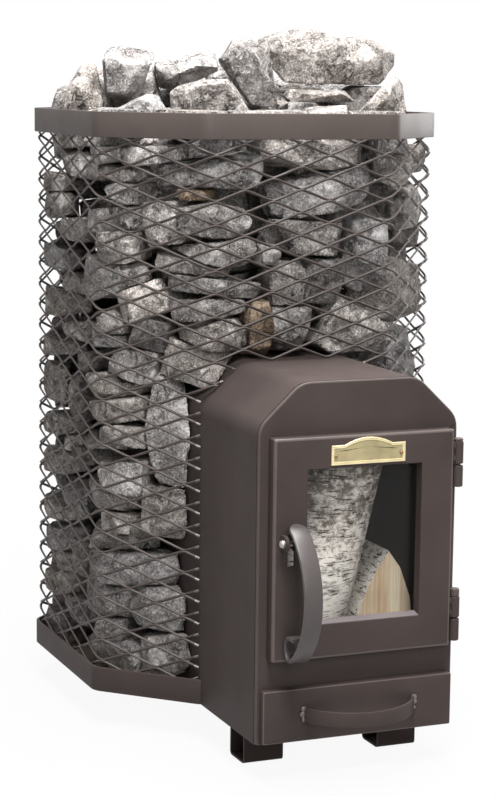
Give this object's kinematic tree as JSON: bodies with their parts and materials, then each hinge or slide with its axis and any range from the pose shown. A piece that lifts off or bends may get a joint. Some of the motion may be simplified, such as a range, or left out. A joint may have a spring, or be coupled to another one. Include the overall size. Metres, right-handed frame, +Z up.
{
  "type": "sauna heater stove",
  "caption": "Wood-burning sauna heater: a tunnel firebox with a glazed door and an ash drawer stands in an octagonal mesh cage heaped with stones.",
  "frame": {"origin": "on the floor, below the middle of the bounding box", "axes": "+Z up, -Y the way the door faces, +X to the right of someone facing the door, where the hinges are"},
  "size_m": [0.524, 0.8535, 0.986],
  "materials": {
    "body_paint": "matte heat-proof paint",
    "mesh_steel": "matte heat-proof paint",
    "inner_steel": "bare mild steel",
    "grate_iron": "rough cast",
    "bright_steel": "zinc plated",
    "plate_brass": "satin",
    "rivet_copper": "satin",
    "door_glass": "clear heat-proof glass",
    "seal_rope": "woven rope",
    "stone": "rough broken rock",
    "bark": "birch bark",
    "split_wood": "split face"
  },
  "bodies": {
    "stove": {"cage_rim": "body_paint", "cage_ring": "body_paint", "firebox_shell": "body_paint", "firebox_front_plate": "body_paint", "firebox_back_plate": "body_paint", "flue_collar": "body_paint", "foot_front_left": "body_paint", "foot_front_right": "body_paint", "foot_rear_left": "body_paint", "foot_rear_right": "body_paint", "hinge_frame_knuckle_upper": "body_paint", "hinge_frame_knuckle_lower": "body_paint", "mesh_back": "mesh_steel", "mesh_back_left": "mesh_steel", "mesh_left": "mesh_steel", "mesh_front_left": "mesh_steel", "mesh_front": "mesh_steel", "mesh_front_right": "mesh_steel", "mesh_right": "mesh_steel", "mesh_back_right": "mesh_steel", "cage_floor": "inner_steel", "firebox_floor": "inner_steel", "hearth_plate": "inner_steel", "smoke_baffle": "inner_steel", "door_catch": "inner_steel", "fire_grate": "grate_iron", "hinge_pin_upper": "bright_steel", "hinge_pin_lower": "bright_steel", "stones_left": "stone", "stones_right": "stone", "stones_back": "stone", "stones_over_firebox": "stone", "heap_stone_big": "stone", "heap_stone_centre": "stone", "heap_stone_right": "stone", "heap_stone_slab": "stone", "heap_stone_long": "stone", "heap_stone_tall": "stone", "heap_stone_left": "stone", "heap_bed": "stone", "log_leaning": "bark", "log_split": "split_wood"},
    "door": {"door_panel": "body_paint", "door_glass": "door_glass", "glass_clamp_top": "inner_steel", "glass_clamp_bottom": "inner_steel", "door_rope_seal": "seal_rope", "nameplate": "plate_brass", "nameplate_rivet_left": "rivet_copper", "nameplate_rivet_right": "rivet_copper", "hinge_door_knuckle_upper": "body_paint", "hinge_door_knuckle_lower": "body_paint", "handle_lug": "body_paint", "handle_bolt": "bright_steel"},
    "latch": {"door_handle": "body_paint", "latch_lever": "inner_steel"},
    "ash_drawer": {"drawer_front": "body_paint", "ash_pan": "inner_steel", "drawer_handle": "body_paint"}
  },
  "joints": [
    {"name": "door_hinge", "type": "hinge", "parent": "stove", "child": "door", "pos_m": [0.14, -0.34225, 0.3], "axis": [0, 0, 1], "range_deg": [0, 115]},
    {"name": "handle_pull", "type": "hinge", "parent": "door", "child": "latch", "pos_m": [-0.104, -0.36425, 0.324], "axis": [-1, 0, 0], "range_deg": [0, 25]},
    {"name": "ash_drawer_slide", "type": "slide", "parent": "stove", "child": "ash_drawer", "axis": [0, -1, 0], "range_m": [0, 0.3]}
  ]
}
